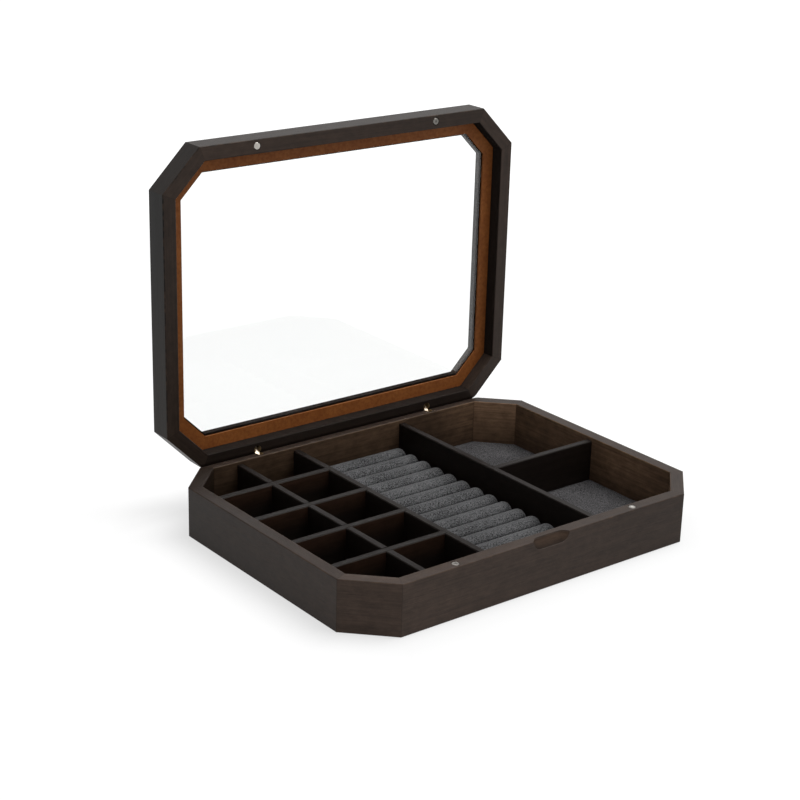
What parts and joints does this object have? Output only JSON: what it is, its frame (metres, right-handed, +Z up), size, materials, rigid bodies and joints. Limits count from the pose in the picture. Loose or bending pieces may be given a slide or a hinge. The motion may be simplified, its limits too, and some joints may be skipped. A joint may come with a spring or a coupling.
{
  "type": "jewelry box",
  "caption": "Shallow octagonal wooden jewelry box with a glass-paned lid on concealed hinges, felt-lined bays and padded ring rolls.",
  "frame": {"origin": "middle of the base's underside", "axes": "+X along the front to the right, +Y from front to back, +Z up"},
  "size_m": [0.3, 0.2426, 0.2608],
  "materials": {
    "base_wood": "satin",
    "lid_wood": "satin",
    "divider_wood": "satin",
    "panel_board": "matte",
    "backing_board": "matte",
    "felt": "matte",
    "roll_velour": "matte",
    "nickel": "polished",
    "hinge_brass": "satin",
    "glass": "polished",
    "strip_leather": "satin"
  },
  "bodies": {
    "base": {"base_back_board": "base_wood", "base_back_left_board": "base_wood", "base_back_right_board": "base_wood", "base_front_board": "base_wood", "base_front_left_board": "base_wood", "base_front_right_board": "base_wood", "base_hinge_barrels": "hinge_brass", "base_left_board": "base_wood", "base_magnets": "nickel", "base_right_board": "base_wood", "bottom_panel": "panel_board", "column_divider": "divider_wood", "felt_pad_1_1": "felt", "felt_pad_1_2": "felt", "felt_pad_1_3": "felt", "felt_pad_1_4": "felt", "felt_pad_1_5": "felt", "felt_pad_2_1": "felt", "felt_pad_2_2": "felt", "felt_pad_2_3": "felt", "felt_pad_2_4": "felt", "felt_pad_2_5": "felt", "felt_pad_large_back": "felt", "felt_pad_large_front": "felt", "left_cross_divider_1": "divider_wood", "left_cross_divider_2": "divider_wood", "left_cross_divider_3": "divider_wood", "left_cross_divider_4": "divider_wood", "left_long_divider": "divider_wood", "right_cross_divider": "divider_wood", "right_long_divider": "divider_wood", "ring_roll_01": "roll_velour", "ring_roll_02": "roll_velour", "ring_roll_03": "roll_velour", "ring_roll_04": "roll_velour", "ring_roll_05": "roll_velour", "ring_roll_06": "roll_velour", "ring_roll_07": "roll_velour", "ring_roll_08": "roll_velour", "ring_roll_09": "roll_velour", "ring_roll_10": "roll_velour", "ring_roll_11": "roll_velour", "ring_roll_12": "roll_velour", "ring_roll_13": "roll_velour", "ring_roll_14": "roll_velour", "ring_roll_board": "backing_board"},
    "links": {"left_hinge_links": "hinge_brass", "right_hinge_links": "hinge_brass"},
    "lid": {"glass_pane": "glass", "glass_strip": "strip_leather", "lid_back_left_rail": "lid_wood", "lid_back_rail": "lid_wood", "lid_back_right_rail": "lid_wood", "lid_front_left_rail": "lid_wood", "lid_front_rail": "lid_wood", "lid_front_right_rail": "lid_wood", "lid_hinge_barrels": "hinge_brass", "lid_left_rail": "lid_wood", "lid_magnets": "nickel", "lid_right_rail": "lid_wood"}
  },
  "joints": [
    {"name": "link_turn", "type": "hinge", "parent": "base", "child": "links", "pos_m": [0, 0.1089, 0.03135], "axis": [1, 0, 0], "range_deg": [0, 45]},
    {"name": "lid_turn", "type": "hinge", "parent": "links", "child": "lid", "pos_m": [0, 0.11597, 0.03842], "axis": [1, 0, 0], "range_deg": [0, 45]}
  ],
  "couplings": [
    {"joint": "lid_turn", "follows": "link_turn", "ratio": 1}
  ]
}
